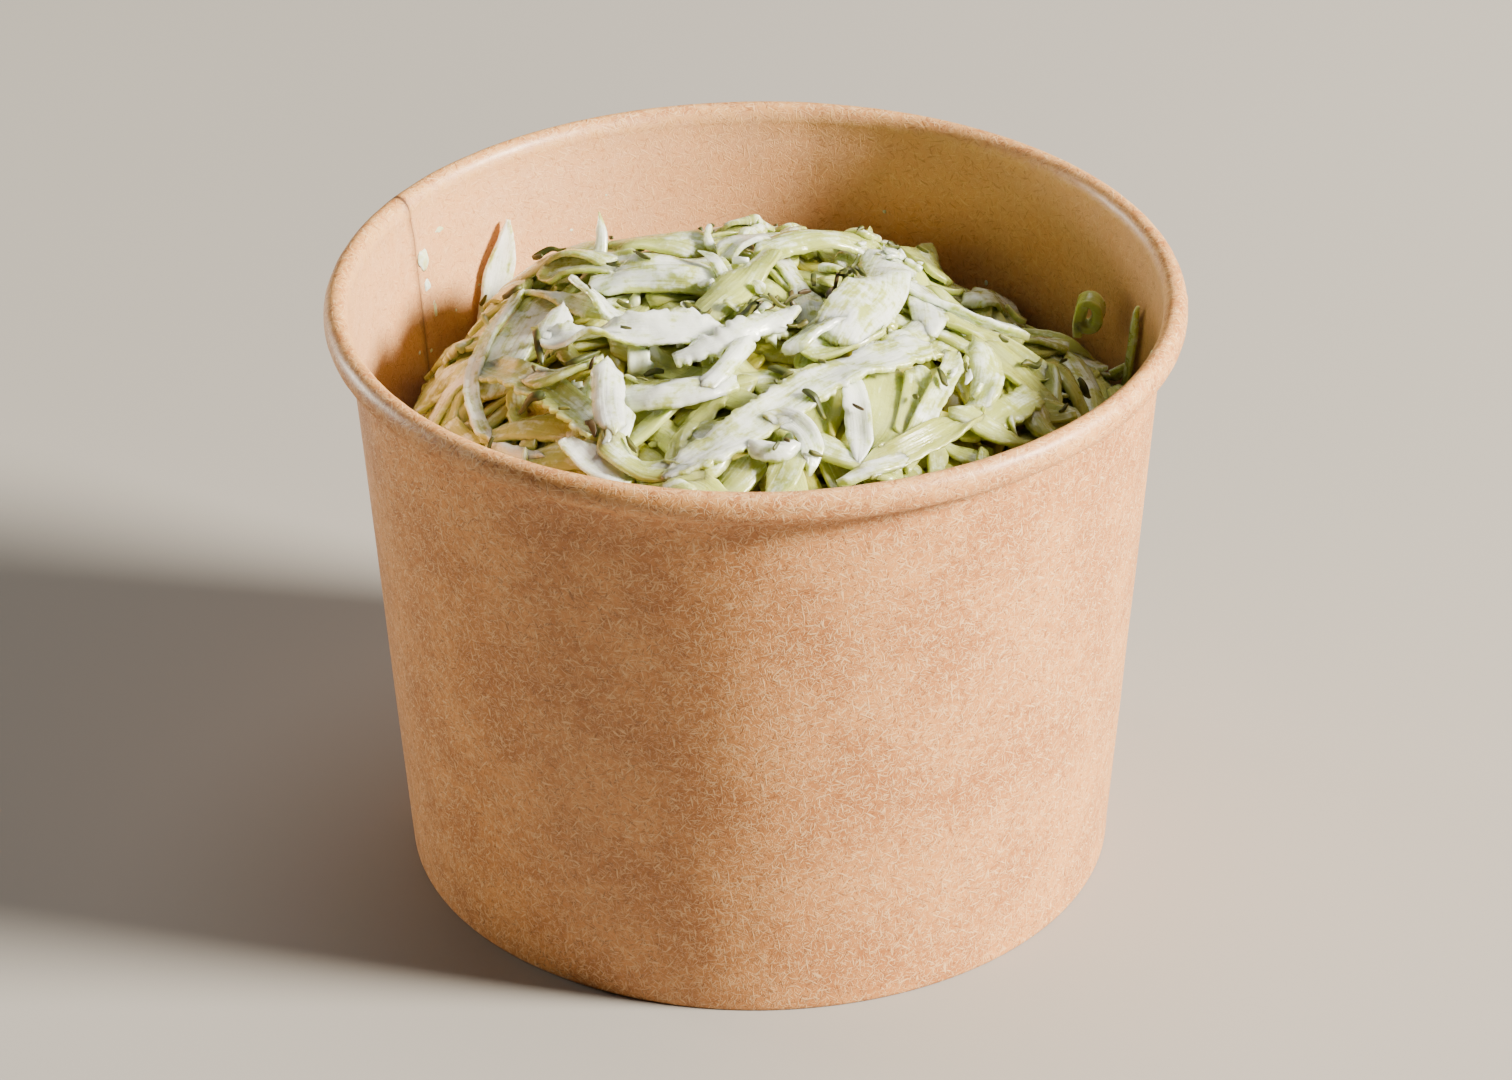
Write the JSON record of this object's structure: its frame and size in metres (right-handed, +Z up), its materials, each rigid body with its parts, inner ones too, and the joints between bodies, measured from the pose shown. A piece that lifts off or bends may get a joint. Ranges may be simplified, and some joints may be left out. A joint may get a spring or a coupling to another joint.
{
  "type": "coleslaw in a paper cup",
  "caption": "Heap of dressed cabbage shreds with herb flecks in a round kraft paper cup with a rolled rim, open at the top.",
  "frame": {"origin": "middle of the foot ring, on the surface that the cup stands on", "axes": "+Z up along the cup's axis; -Y towards the front of the heap; the wall's lap seam is at the back left, between -X and +Y"},
  "size_m": [0.098, 0.098, 0.0713],
  "materials": {
    "kraft_wall": "satin coated kraft paper with fine fibres",
    "kraft_base": "satin coated kraft paper",
    "dressed_cabbage": "wet cream dressing over pale green shreds, with dark green herb flecks"
  },
  "bodies": {
    "root": {"cup_wall": "kraft_wall", "cup_base": "kraft_base", "coleslaw": "dressed_cabbage"}
  },
  "joints": []
}
